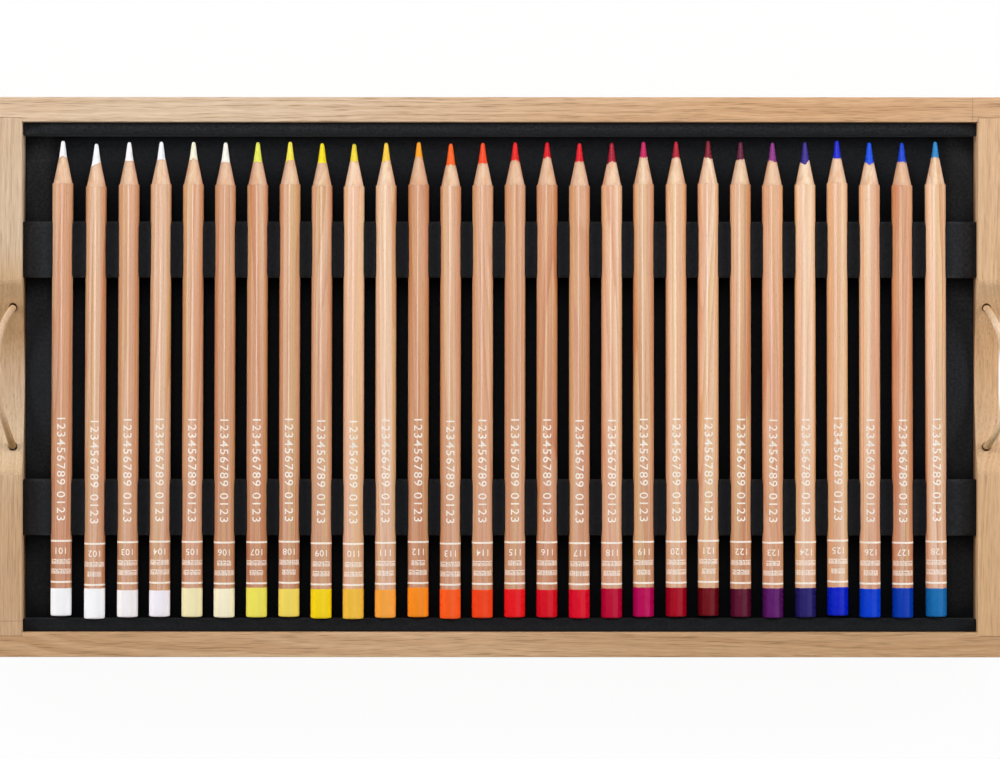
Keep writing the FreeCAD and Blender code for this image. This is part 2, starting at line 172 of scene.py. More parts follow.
class Nodes:
    """A node tree, and short ways to add nodes to it."""

    def __init__(self, tree):
        self.tree = tree

    def node(self, kind, inputs=None, **settings):
        node = self.tree.nodes.new(f"ShaderNode{kind}")
        for key, value in settings.items():
            setattr(node, key, value)
        for socket, value in (inputs or {}).items():
            self.feed(value, node.inputs[socket])
        return node

    def feed(self, value, socket):
        if isinstance(value, bpy.types.NodeSocket):
            self.tree.links.new(value, socket)
        else:
            socket.default_value = value

    def maths(self, operation, first, second=0.0, third=0.0):
        return self.node("Math", {0: first, 1: second, 2: third}, operation=operation).outputs[0]

    def times(self, first, second):
        return self.maths("MULTIPLY", first, second)

    def plus(self, first, second):
        return self.maths("ADD", first, second)

    def diagonal(self, first, second):
        """How long the diagonal of first by second is."""
        return self.maths("SQRT", self.plus(self.times(first, first), self.times(second, second)))

    def apart(self, first, second):
        return self.maths("ABSOLUTE", self.maths("SUBTRACT", first, second))

    def parts(self, vector):
        """A vector's X, Y and Z."""
        return self.node("SeparateXYZ", {"Vector": vector}).outputs

    def span(self, value, low, high):
        """0 at low to 1 at high."""
        return self.node("MapRange", {"Value": value, "From Min": low, "From Max": high}).outputs[0]

    def seen(self):
        """1 for rays from the camera, a mirror or glass, 0 for rays that only bring light."""
        rays = self.node("LightPath").outputs
        mirrored = self.maths("MAXIMUM", rays["Is Glossy Ray"], rays["Is Transmission Ray"])
        return self.maths("MAXIMUM", rays["Is Camera Ray"], mirrored)


class Shader(Nodes):
    """A material with one Principled shader, and short ways to draw on it. Noise scales are per metre."""

    def __init__(self, name, **settings):
        self.material = bpy.data.materials.new(name)
        self.material.use_nodes = True
        super().__init__(self.material.node_tree)
        self.main = self.tree.nodes["Principled BSDF"]
        for socket, value in settings.items():
            self.main.inputs[socket.replace("_", " ")].default_value = value
        self.place = self.node("TexCoord").outputs["Object"]

    def facing(self):
        """The X, Y and Z of the way a face looks."""
        return self.parts(self.node("NewGeometry").outputs["Normal"])

    def noise(self, vector, detail=2.0, rough=0.5, warp=0.0):
        inputs = {"Vector": vector, "Scale": 1.0, "Detail": detail, "Roughness": rough, "Distortion": warp}
        return self.node("TexNoise", inputs).outputs["Fac"]

    def cloud(self, scale, shift=(0, 0, 0), detail=2.0, rough=0.5, warp=0.0, vector=None):
        """Noise in the object's coordinates, or in vector, stretched by scale (one number or three)."""
        scale = scale if hasattr(scale, "__len__") else (scale, scale, scale)
        inputs = {"Vector": vector or self.place, "Location": shift, "Scale": scale}
        return self.noise(self.node("Mapping", inputs).outputs[0], detail, rough, warp)

    def ramp(self, factor, *stops):
        """A colour ramp; each stop is (position, grey or RGBA)."""
        node = self.node("ValToRGB", {"Fac": factor})
        elements = node.color_ramp.elements
        while len(elements) < len(stops):
            elements.new(0.5)
        for element, (position, value) in zip(elements, stops):
            element.position = position
            element.color = value if hasattr(value, "__len__") else (value, value, value, 1)
        return node.outputs["Color"]

    def mix(self, factor, first, second, blend="MIX"):
        inputs = {0: factor, 6: first, 7: second}
        return self.node("Mix", inputs, data_type="RGBA", blend_type=blend).outputs[2]

    def tinted(self, colour, tint):
        return self.mix(1.0, colour, tint, "MULTIPLY")

    def over(self, colour, top, mask, start, full, share):
        """colour under top, of which none shows where mask is at start and share where it is at full."""
        return self.mix(self.ramp(mask, (start, 0.0), (full, share)), colour, top)

    def toned(self, colour, axis, light_and_shade):
        """colour multiplied by painted light and shade, given as a tone at places (m) along an axis of the
        part.
        """
        low, high = light_and_shade[0][0], light_and_shade[-1][0]
        run = self.span(self.parts(self.place)[axis], low, high)
        stops = [((place - low) / (high - low), (*tone, 1)) for place, *tone in light_and_shade]
        return self.tinted(colour, self.ramp(run, *stops))

    def bump(self, height, distance, strength=1.0):
        node = self.node("Bump", {"Height": height, "Distance": distance, "Strength": strength})
        self.feed(node.outputs[0], self.main.inputs["Normal"])

    def colour(self, value):
        self.feed(value, self.main.inputs["Base Color"])

    def roughness(self, mask, first, second):
        """Roughness that follows mask through two stops."""
        self.feed(self.ramp(mask, first, second), self.main.inputs["Roughness"])


def oak(name, along, pith, pale, warm, drift, seams=(), strength=1.0, light_and_shade=()):
    """Sawn oak with its grain along X or Y: growth rings round a pith line off the board, pores and rays.
    pith is (across, up, how it drifts). pale and warm are the two shades, and drift is a place along the
    board and the distances from it where it is wholly the one and wholly the other. seams are glue lines
    (axis, place), strength is how much the grain shows, and the last argument gives painted light and shade
    as rows of a place along the board and its tone. Places are in metres."""
    s = Shader(name, Roughness=0.56, Specular_IOR_Level=0.35)
    turn = (0, 0, 0) if along == "X" else (0, 0, math.radians(-90))
    board = s.node("Mapping", {"Vector": s.place, "Rotation": turn}).outputs[0]

    def grain(length, width, detail=2.0, rough=0.5):
        return s.cloud((length, width, width), detail=detail, rough=rough, vector=board)

    ahead, across, up = s.parts(board)
    across = s.plus(across, pith[0])
    up = s.maths("MULTIPLY_ADD", ahead, pith[2], s.plus(up, pith[1]))
    reach = s.maths("MULTIPLY_ADD", grain(11, 34), 0.011, s.diagonal(across, up))
    rings = s.node("CombineXYZ", {"X": s.times(reach, 760.0), "Y": s.times(ahead, 4.0)}).outputs[0]
    late = s.ramp(s.noise(rings, 1.5), (0.38, 0.0), (0.64, 1.0))
    pores = s.ramp(grain(95, 3300, 1.0), (0.54, 0.0), (0.68, 1.0))
    pores = s.times(pores, s.maths("MULTIPLY_ADD", late, 0.80, 0.32))
    fibres = grain(150, 2100, 2.5, 0.6)
    run = s.span(s.apart(s.parts(s.place)[along], drift[0]), drift[1], drift[2])
    run = s.maths("MULTIPLY_ADD", s.maths("SUBTRACT", s.cloud(16), 0.5), 0.9, run)
    shade = s.mix(s.ramp(run, (0.0, 0.0), (1.0, 1.0)), linear(pale), linear(warm))
    colour = s.tinted(shade, s.ramp(fibres, (0.28, (0.84, 0.80, 0.75, 1)), (0.66, 1.0)))
    colour = s.mix(s.times(late, 0.60 * strength), colour, s.tinted(shade, (0.72, 0.62, 0.50, 1)))
    colour = s.mix(s.times(pores, 0.75 * strength), colour, (0.26, 0.145, 0.070, 1))
    for axis, place in seams:
        gap = s.apart(s.parts(s.place)[axis], place)
        line = s.node("MapRange", {"Value": gap, "From Max": 0.00028, "To Min": 0.45, "To Max": 0.0})
        colour = s.mix(line.outputs[0], colour, (0.16, 0.09, 0.05, 1))
    # Painted light and shade along the board, where given.
    s.colour(s.toned(colour, along, light_and_shade) if light_and_shade else colour)
    s.roughness(fibres, (0.2, 0.50), (0.8, 0.66))
    s.bump(s.maths("MULTIPLY_ADD", pores, -1.0, s.times(fibres, 0.4)), 0.00010, 0.7)
    return s.material


def cedar(name, index, centre, depth, red, bare=False):
    """Incense cedar for one pencil: growth rings round a pith line slightly askew of the barrel, each with
    its own shade from pale through honey to rust. The barrel is varnished; the cone is bare. Faces that look
    sideways get painted shade, deeper where they face the row's nearer end and lifted by painted light where
    they face its middle; the tail end gets painted shade, and the bare cone a painted highlight where it
    faces up."""
    draw = random.Random(f"cedar {index}")
    specular, coat = (0.35, 0.0) if bare else (0.30, 0.80)
    s = Shader(name, Specular_IOR_Level=specular, Coat_Weight=coat, Coat_Roughness=0.10)
    side = draw.choice([-1, 1])
    pith = (side * draw.uniform(0.006, 0.026), draw.uniform(-0.012, -0.002))
    askew = (draw.uniform(-0.030, 0.030), draw.uniform(-0.045, 0.045))
    spacing = draw.uniform(0.0009, 0.0022)
    away = [draw.uniform(0, 40) for _ in range(3)]

    def lines(across, along, detail, shift, warp=0.0):
        return s.cloud((across, along, across), [a + shift for a in away], detail, warp=warp)

    x, y, z = s.parts(s.place)
    from_pith = [
        s.maths("MULTIPLY_ADD", y, askew[k], s.maths("SUBTRACT", place, centre[k] + pith[k]))
        for k, place in enumerate((x, z))
    ]
    reach = s.maths("MULTIPLY_ADD", lines(130, 8, 1.0, 5.0), 0.0045, s.diagonal(*from_pith))
    rings = s.maths("MULTIPLY_ADD", lines(900, 22, 1.0, 17.0), 0.35, s.maths("DIVIDE", reach, spacing))
    which = s.node("TexWhiteNoise", {"W": s.maths("FLOOR", rings)}, noise_dimensions="1D").outputs[0]
    within = s.maths("FRACT", rings)
    late = s.ramp(within, (0.0, 0.0), (0.40, 0.10), (0.78, 0.70), (0.90, 1.0), (0.97, 0.3), (1.0, 0.0))

    tone = (1.12 - 0.24 * depth, 1.24 - 0.42 * depth, 1.34 - 0.56 * depth, 1.0)
    cream = linear((240, 206, 174))
    peach = linear((226, 180, 144))
    honey = linear((224, 184, 136))
    rust = linear((196, 118, 76))
    base = [(c + p) / 2 for c, p in zip(cream, peach)]
    deep = [h + (r - h) * (0.10 + 0.70 * red) for h, r in zip(honey, rust)]
    shades = (0.0, base), (0.30, base), (0.36, honey), (0.58, honey), (0.64, peach), (0.80, peach)
    colour = s.ramp(which, *shades, (0.88, deep), (1.0, deep))
    colour = s.over(colour, base, lines(260, 5, 1.0, 3.0, 0.2), 0.46, 0.58, 0.75)
    colour = s.over(colour, linear((208, 136, 94)), lines(170, 3, 0.0, 23.0), 0.48, 0.60, 0.20 + 0.40 * red)
    heavy = s.ramp(s.maths("FRACT", s.times(which, 7.0)), (0.30, 0.25), (0.85, 1.0))
    colour = s.mix(s.times(s.times(late, heavy), 0.34 + 0.40 * red), colour, rust)
    fine = lines(2300, 14.0, 2.0, 7.0)
    colour = s.over(colour, linear((176, 112, 72)), fine, 0.48, 0.70, 0.24 + 0.20 * depth)
    pores = lines(3600, 620.0, 1.0, 13.0)
    colour = s.over(colour, linear((132, 72, 40)), pores, 0.62, 0.74, 0.22)
    colour = s.tinted(colour, tone)
    # Painted shade on faces that look sideways, and painted light and shade by the end of the row they face;
    # on the bare cone also a painted highlight where it faces up.
    facing_x, _, facing_z = s.facing()
    if bare:
        aside = s.maths("MULTIPLY_ADD", facing_x, 0.20 - 0.011 * index, 1.0)
        sawn = s.mix(0.30, colour, linear((250, 222, 192)))
        colour = s.over(sawn, linear((214, 140, 86)), lines(420, 180, 1.0, 29.0), 0.50, 0.70, 0.40)
        flank_shade = [(0.25, (0.72, 0.62, 0.55, 1)), (0.80, (0.90, 0.92, 0.97, 1)), (0.975, (1.0, 1.08, 1.11, 1))]
    else:
        aside = s.maths("MULTIPLY_ADD", s.maths("MINIMUM", facing_x, 0.0), 0.12 - 0.011 * index, 1.0)
        flank_shade = [(0.05, (0.80, 0.66, 0.56, 1)), (0.50, (0.97, 0.91, 0.84, 1)), (0.92, (1.0, 1.01, 1.03, 1))]
    colour = s.tinted(s.tinted(colour, s.ramp(facing_z, *flank_shade)), aside)
    # Painted shade, darker towards the pencil's tail end.
    tail_shade = [(0.0, (0.87, 0.78, 0.79, 1)), (0.5, (0.965, 0.945, 0.945, 1)), (1.0, 1.0)]
    s.colour(s.tinted(colour, s.ramp(s.span(y, -0.09, 0.05), *tail_shade)))
    s.roughness(fine, (0.2, 0.44 if bare else 0.34), (0.8, 0.56 if bare else 0.44))
    s.bump(s.plus(fine, pores), 0.00006 if bare else 0.00002, 0.8)
    return s.material


def depth_of(colour_levels):
    """0 for the lightest colours to 1 for the deep ones, which get more painted shade where they face
    sideways.
    """
    return min(1.0, max(0.0, (245 - max(colour_levels)) / 110))


def darker(colour, share):
    return [c * share for c in colour[:3]] + [1.0]


def lead_material(name, index, colour_levels):
    """Pigmented lead, cut by the sharpener: fine rings and a waxy surface, with painted shade on its sides.
    """
    s = Shader(name, Specular_IOR_Level=0.20)
    rings = s.cloud((300, 2600, 300), (index * 3.1, 0, 0))
    base = linear(colour_levels)
    dark = darker(base, 0.80)
    colour = s.over(base, dark, s.cloud((700, 500, 700)), 0.35, 0.75, 0.8)
    # Painted shade on the sides of the lead, stronger on deep colours.
    flank_shade = s.ramp(s.facing()["Z"], (0.20, 0.46), (0.80, 0.84), (0.975, 1.0))
    colour = s.over(colour, dark, rings, 0.45, 0.70, 0.35)
    s.colour(s.mix(0.25 + 0.75 * depth_of(colour_levels), colour, s.tinted(colour, flank_shade)))
    s.roughness(rings, (0.3, 0.24), (0.7, 0.34))
    s.bump(rings, 0.00004, 0.7)
    return s.material


def paint_material(name, index, colour_levels):
    """Dipped gloss paint over cedar: even colour with a little drift in thickness and a faint painted
    highlight just right of its ridge. A deep colour gets painted shade where it faces sideways."""
    s = Shader(name, Specular_IOR_Level=0.05, Coat_Weight=0.05, Coat_Roughness=0.04)
    flow = s.cloud((260, 60, 260), (index * 5.3, 0, 0), 1)
    base = linear(colour_levels)
    colour = s.over(base, darker(base, 0.94), flow, 0.35, 0.70, 0.9)
    # Painted shade on the sides, and a painted highlight just right of the ridge.
    aside = s.maths("MULTIPLY_ADD", s.facing()["X"], 0.5, 0.5)
    flank_shade = s.ramp(
        aside, (0.0, 0.50), (0.07, 0.70), (0.25, 0.96), (0.65, 1.0), (0.80, 0.88), (0.93, 0.60), (1.0, 0.45)
    )
    colour = s.mix(depth_of(colour_levels), colour, s.tinted(colour, flank_shade))
    # Painted highlight: a faint lighter band just right of the ridge.
    painted_sheen = s.ramp(aside, (0.50, 0.0), (0.56, 0.016), (0.72, 0.012), (0.85, 0.0))
    s.colour(s.mix(painted_sheen, colour, (1, 1, 1, 1)))
    s.roughness(s.cloud(500, detail=1), (0.3, 0.26), (0.7, 0.30))
    s.bump(flow, 0.00003, 0.10)
    return s.material


# Painted shade on the foam, by how open it is to its surroundings: how much of its own colour shows over a
# painted shadow colour, on the two lips, on the sheet and rests outside the row of pencils, and among the
# pencils. Each stop is (openness, share).
LIP_SHADE = [(0.55, 0.40), (0.64, 1.0), (0.76, 1.0), (0.80, 0.90), (0.86, 0.24)]
OPEN_SHADE = [(0.36, 0.28), (0.42, 0.50), (0.47, 1.0), (0.54, 1.0), (0.62, 0.88), (0.72, 0.70), (0.80, 0.50)]
ROW_SHADE = [(0.32, 0.03), (0.42, 0.05), (0.50, 0.22), (0.60, 0.62), (0.66, 0.62), (0.72, 0.30), (0.85, 0.24)]
# The same painted shade from the tail end of the tray to the tip end.
LENGTH_SHADE = [(0.02, 0.34), (0.06, 0.68), (0.80, 0.94), (0.88, 0.84), (0.94, 0.90), (0.97, 1.0)]
# Painted shade on the foam round the pencils' cones, on top of that.
CONE_SHADE = [(0.845, 1.0), (0.87, 0.55), (0.885, 0.57), (0.905, 0.75), (0.935, 1.0)]
# Where the row of pencils ends and the open foam begins, in metres from the middle.
ROW_END = (0.1655, 0.1685)


def foam_material(name, shades):
    """Closed-cell foam: near black, with fine cells and a faint bloom, and painted shade where it is hemmed
    in and along the tray. shades holds one list of stops for that painted shade, or two: among the pencils
    and outside them."""
    s = Shader(name, Specular_IOR_Level=0.10, Sheen_Weight=0.05, Sheen_Roughness=0.6)
    cells = s.node("TexVoronoi", {"Vector": s.place, "Scale": 1900.0}).outputs["Distance"]
    grain = s.cloud(900, detail=3, rough=0.65)
    colour = s.over((0.015, 0.0165, 0.019, 1), (0.060, 0.063, 0.069, 1), grain, 0.30, 0.74, 1.0)
    colour = s.over(colour, (0.044, 0.045, 0.049, 1), s.cloud(22), 0.3, 0.8, 0.30)
    # Painted shade: ambient occlusion picks how much of the foam's colour shows.
    openness = s.node("AmbientOcclusion", {"Distance": 0.012}, samples=8).outputs["AO"]
    depth = s.ramp(openness, *shades[0])
    x, y, _ = s.parts(s.place)
    along = s.span(y, -0.095, 0.095)
    if len(shades) > 1:
        outside = s.span(s.maths("ABSOLUTE", x), *ROW_END)
        depth = s.times(depth, s.ramp(along, *CONE_SHADE))
        depth = s.mix(outside, depth, s.ramp(openness, *shades[1]))
    depth = s.times(depth, s.ramp(along, *LENGTH_SHADE))
    # The painted shadow colour: near black, a little blue.
    s.colour(s.mix(depth, (0.0002, 0.0011, 0.0026, 1), colour))
    s.roughness(grain, (0.2, 0.82), (0.8, 0.98))
    s.bump(s.plus(s.times(cells, 0.6), grain), 0.00025, 0.8)
    return s.material


def leather_material(name, light_and_shade):
    """Natural round leather cord: fine lengthwise creases and small darker patches, with painted light and
    shade along it.
    """
    s = Shader(name, Specular_IOR_Level=0.4)
    creases = s.cloud((2200, 420, 2200), detail=3, rough=0.6)
    patches = s.cloud((260, 160, 260))
    colour = s.over(linear((228, 198, 166)), linear((202, 162, 122)), patches, 0.3, 0.75, 0.75)
    colour = s.over(colour, linear((150, 108, 70)), creases, 0.35, 0.75, 0.45)
    # Painted light and shade along the cord.
    s.colour(s.toned(colour, "Y", light_and_shade))
    s.roughness(creases, (0.3, 0.52), (0.7, 0.72))
    s.bump(creases, 0.00012, 0.8)
    return s.material


def print_material():
    """Opaque white printing ink."""
    s = Shader("ink_white", Specular_IOR_Level=0.4)
    wear = s.cloud(1500)
    s.colour(s.ramp(wear, (0.38, (0.94, 0.88, 0.81, 1)), (0.70, (0.84, 0.73, 0.61, 1))))
    s.roughness(wear, (0.3, 0.45), (0.7, 0.60))
    s.bump(wear, 0.00001, 0.5)
    return s.material


# -------- mesh helpers


def put(name, data):
    """A new object in the scene."""
    thing = bpy.data.objects.new(name, data)
    bpy.context.scene.collection.objects.link(thing)
    return thing


def add_piece(name, skin, material, body, slot, smooth=True, replaced=()):
    """A mesh piece in millimetres of the row frame, riding on a body. skin is its (points, faces)."""
    points, faces = skin
    mesh = bpy.data.meshes.new(name)
    mesh.from_pydata([Vector(p) * MM for p in points], [], faces)
    cleaned = bmesh.new()
    cleaned.from_mesh(mesh)
    bmesh.ops.remove_doubles(cleaned, verts=cleaned.verts, dist=1e-7)
    bmesh.ops.recalc_face_normals(cleaned, faces=cleaned.faces)
    cleaned.to_mesh(mesh)
    cleaned.free()
    for face in mesh.polygons:
        face.use_smooth = smooth
    mesh.materials.append(material)
    piece = put(name, mesh)
    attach(piece, body)
    if replaced:
        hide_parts(*replaced)
    return piece


def bands(count, rows, closed=False):
    """The faces between rows of count points each, and from the last row to the first where closed."""
    total = count * rows
    faces = []
    for first in range(0, total if closed else total - count, count):
        above = (first + count) % total
        for i in range(count):
            j = (i + 1) % count
            faces.append((first + i, first + j, above + j, above + i))
    return faces


def loft(rings):
    """A closed skin through rings of equal count: side faces, and a fan at each end."""
    count = len(rings[0])
    points = [p for ring in rings for p in ring]
    faces = bands(count, len(rings))
    for ring, first in ((rings[0], 0), (rings[-1], (len(rings) - 1) * count)):
        points.append(sum((Vector(p) for p in ring), Vector()) / count)
        faces += [(first + i, first + (i + 1) % count, len(points) - 1) for i in range(count)]
    return points, faces


def join(*skins):
    """Several (points, faces) skins as one."""
    points, faces = [], []
    for some_points, some_faces in skins:
        start = len(points)
        points += some_points
        faces += [tuple(i + start for i in face) for face in some_faces]
    return points, faces


def taken(shape):
    """The points and faces of a bmesh, which is then freed."""
    shape.verts.index_update()
    skin = [tuple(v.co) for v in shape.verts], [tuple(v.index for v in face.verts) for face in shape.faces]
    shape.free()
    return skin


def circle(count):
    """(cosine, sine) of count even steps round a circle."""
    return [(math.cos(2 * math.pi * i / count), math.sin(2 * math.pi * i / count)) for i in range(count)]


# -------- pencils


def hexagon(apothem, rounding, arc_steps=8, flat_steps=9):
    """A rounded hexagon with a flat side up and slightly full sides, as (x, z) points clockwise from the left
    end of the top side."""
    half_flat = (apothem - rounding) / math.cos(math.radians(30)) / 2
    corner = rounding - FULLNESS
    side = []
    for i in range(flat_steps + 1):
        x = -half_flat + 2 * half_flat * i / flat_steps
        side.append((x, apothem - FULLNESS * ((x / half_flat) ** 2)))
    for i in range(1, arc_steps):
        angle = math.radians(60 * i / arc_steps)
        side.append((half_flat + corner * math.sin(angle), apothem - rounding + corner * math.cos(angle)))
    outline = []
    for cosine, sine in circle(6):
        outline += [(x * cosine + z * sine, z * cosine - x * sine) for x, z in side]
    return outline


BARREL = hexagon(APOTHEM, ROUNDING)


def cone_radius(s):
    """Radius of the sharpened wood and lead at a distance from the tail."""
    for (s0, radius0), (s1, radius1) in zip(CONE, CONE[1:]):
        if s < s1:
            return radius0 + (radius1 - radius0) * (s - s0) / (s1 - s0)
    raise ValueError("s is past the point")


def cone_meets(radius):
    """Where the cone's steep foot is as wide as a point of the barrel's outline."""
    (s0, radius0), (s1, radius1) = CONE[:2]
    return s0 + (s1 - s0) * (radius0 - radius) / (radius0 - radius1)


class Pencil:
    """One pencil's place, roll and lean, and the shapes drawn on it."""

    def __init__(self, index):
        self.index = index
        self.cap, self.lead, self.edge, self.tone, self.shift, self.slide, self.dip = PENCILS[index]
        self.number = f"{index + 1:02d}"
        self.name = f"pencil_{self.number}"
        self.draw = random.Random(self.name)
        self.lean = FIRST_LEAN + LEAN_STEP * index
        self.roll = FIRST_ROLL + ROLL_STEP * index + self.draw.uniform(-0.6, 0.6)

    def axis_x(self, y):
        return FIRST_PENCIL + PENCIL_PITCH * self.index + self.shift + y * math.tan(math.radians(self.lean))

    def at(self, x, z, s):
        """A point given across, up and along from the tail, in the row frame."""
        cosine, sine = math.cos(math.radians(self.roll)), math.sin(math.radians(self.roll))
        y = PENCIL_TAIL + s + self.slide
        return self.axis_x(y) + x * cosine + z * sine, y, PENCIL_AXIS - x * sine + z * cosine

    def ring(self, outline, share, places):
        """An outline drawn in to a share of its width, each point at its own place along the pencil."""
        return [self.at(x * share, z * share, s) for (x, z), s in zip(outline, places)]

    def add(self, kind, skin, material, slot, **settings):
        add_piece(f"{self.name}_{kind}", skin, material, self.name, slot, **settings)

    def bare_lead(self, x, z):
        """Where the wood ends, round the point: the three given lengths, and a ragged edge."""
        left, middle, right = self.edge
        radius = math.hypot(x, z)
        side = x / radius
        length = middle + (right - middle) * max(side, 0) + (left - middle) * max(-side, 0)
        if z < 0:
            length = (left + right) / 2 + (length - (left + right) / 2) * 0.5
        around = Vector((x / radius, z / radius, self.index * 3.7))
        length += 0.38 * noise.noise(around * 2.4) + 0.22 * noise.noise(around * 6.0)
        return PENCIL_LENGTH - length

    def barrel(self, material):
        ends = [cone_meets(math.hypot(x, z)) for x, z in BARREL]
        rings = [
            self.ring(BARREL, 1, [BARREL_START + (end - BARREL_START) * share for end in ends])
            for share in (0.0, 0.002, 0.3, 0.5, 0.7, 0.99, 0.998, 1.0)
        ]
        self.add("barrel", loft(rings), material, "cedar", replaced=[self.name])

    def cone(self, material, steps=10):
        """The bare wood, from inside the barrel to its ragged edge and a little way in under it."""
        rings = [self.ring(BARREL, 0.5, [CONE_START] * len(BARREL))]
        for step in range(-1, steps + 1):
            ring = []
            for x, z in BARREL:
                radius = math.hypot(x, z)
                start, end = max(CONE_SHOULDER, cone_meets(radius)), self.bare_lead(x, z)
                s = cone_meets(radius) if step < 0 else start + (end - start) * step / steps
                share = min(cone_radius(s), radius) / radius
                ring.append(self.at(x * share, z * share, s))
            rings.append(ring)
        inner = []
        for x, z in BARREL:
            share = 0.9 / math.hypot(x, z)
            inner.append(self.at(x * share, z * share, self.bare_lead(x, z) - 0.02))
        self.add("cone", loft([*rings, inner]), material, "cedar")

    def lead_point(self, material):
        """The lead, from inside the cone to its rounded tip."""
        stations = [LEAD_START]
        s = LEAD_SHOWS
        while s < PENCIL_LENGTH - TIP_ROUNDING:
            stations.append((s, cone_radius(s) - LEAD_INSET))
            s += LEAD_STEP
        for step in range(6):
            angle = math.radians(90 * step / 5)
            ahead, across = TIP_ROUNDING * (math.sin(angle) - 1), TIP_ROUNDING * (math.cos(angle) - 1)
            stations.append((PENCIL_LENGTH + ahead, TIP_RADIUS + across))
        rings = []
        for s, radius in stations:
            ring = []
            for z, x in circle(48):
                wobble = 1 + 0.03 * noise.noise(Vector((x * 1.5, z * 1.5, s * 0.7 + self.index * 9)))
                ring.append(self.at(x * radius * wobble, z * radius * wobble, s))
            rings.append(ring)
        self.add("lead", loft(rings), material, f"colour_{self.number}")

    def cap_coat(self, material):
        """The dipped coat, from its rounded tail end to its slightly wavy edge."""
        outline = hexagon(APOTHEM + CAP_COAT, ROUNDING + 0.20)
        drip = [0.12 * noise.noise(Vector((x, z, self.index * 5.1)) * 0.6) for x, z in outline]
        rings = [self.ring(outline, share, [CAP_TRIM + s] * len(outline)) for s, share in CAP_END]
        for back, share in ((0.25, 1.0), (0.08, 0.996), (0.0, 0.984)):
            rings.append(self.ring(outline, share, [self.dip + d - back for d in drip]))
        self.add("cap", loft(rings), material, f"colour_{self.number}")

    # Print.

    def wrap(self, u, s, lift):
        """The point u mm round from the middle of the top flat, lift mm above the barrel."""
        u = u % WRAP_OUTLINE[-1][0]
        for (u0, x0, z0), (u1, x1, z1) in zip(WRAP_OUTLINE, WRAP_OUTLINE[1:]):
            if u <= u1:
                t = (u - u0) / (u1 - u0)
                normal = Vector((-(z1 - z0), 0, x1 - x0)).normalized()
                return self.at(x0 + (x1 - x0) * t + normal.x * lift, z0 + (z1 - z0) * t + normal.z * lift, s)
        raise ValueError("u is out of range")

    def ring_line(self, place):
        """A printed line right round the barrel."""
        outer = hexagon(APOTHEM + PRINT_LIFT, ROUNDING + PRINT_LIFT)
        inner = hexagon(APOTHEM - PRINT_SINK, ROUNDING)
        waver = [0.03 * noise.noise(Vector((x * 0.4, z * 0.4, place + self.index))) for x, z in outer]
        points = []
        for shape, side in ((inner, -1), (outer, -1), (outer, 1), (inner, 1)):
            points += self.ring(shape, 1, [place + w + side * LINE_WIDTH / 2 for w in waver])
        return points, bands(len(outer), 4, closed=True)

    def patch(self, u0, u1, s0, s1):
        """A small printed rectangle, bent over the barrel."""
        steps = max(1, math.ceil((u1 - u0) / STROKE_STRIP))
        points = [
            self.wrap(u0 + (u1 - u0) * i / steps, s, lift)
            for i in range(steps + 1)
            for s, lift in ((s0, PRINT_LIFT), (s1, PRINT_LIFT), (s1, -PRINT_SINK), (s0, -PRINT_SINK))
        ]
        ends = [(0, 1, 2, 3), tuple(steps * 4 + k for k in (3, 2, 1, 0))]
        return points, bands(4, steps + 1) + ends

    def marks(self, place):
        """A row of small plain strokes."""
        width = self.draw.choice([5.4, 7.6, 8.8, 9.6, 9.8])
        u = -width / 2
        skins = []
        low, high = place - MARK_HEIGHT / 2, place + MARK_HEIGHT / 2
        while u < width / 2:
            stroke = self.draw.choice([0.22, 0.26, 0.32])
            if self.draw.random() < 0.6:
                skins.append(self.patch(u, u + stroke, low, high))
            else:
                skins.append(self.patch(u, u + stroke, low, low + 0.6 * MARK_HEIGHT))
                skins.append(self.patch(u, u + stroke + 0.2, high - 0.35, high))
            u += stroke + self.draw.choice([0.20, 0.24, 0.28])
        return join(*skins)

    def digits(self):
        """The long row of digits, which reads down the barrel from the tip end, and the number across it."""
        points, faces = DIGITS_SHAPE
        yield [self.wrap(up, DIGITS_PLACE - along, lift) for along, up, lift in points], faces
        points, faces = NUMBER_SHAPES[self.index]
        yield [self.wrap(-along, NUMBER_PLACE - up, lift) for along, up, lift in points], faces

    def ink(self, material):
        skins = [self.ring_line(place) for place in LINE_PLACES]
        skins += [*self.digits(), *(self.marks(place) for place in MARK_ROWS)]
        self.add("print", join(*skins), material, "white_print", smooth=False)


def wrap_outline():
    """The barrel's outline with the distance along it, from the middle of the top flat."""
    outline = hexagon(APOTHEM, ROUNDING, flat_steps=8)
    outline = outline[4:] + outline[:5]
    distance = 0.0
    marked = [(0.0, *outline[0])]
    for (x0, z0), (x1, z1) in zip(outline, outline[1:]):
        distance += math.hypot(x1 - x0, z1 - z0)
        marked.append((distance, x1, z1))
    return marked


WRAP_OUTLINE = wrap_outline()


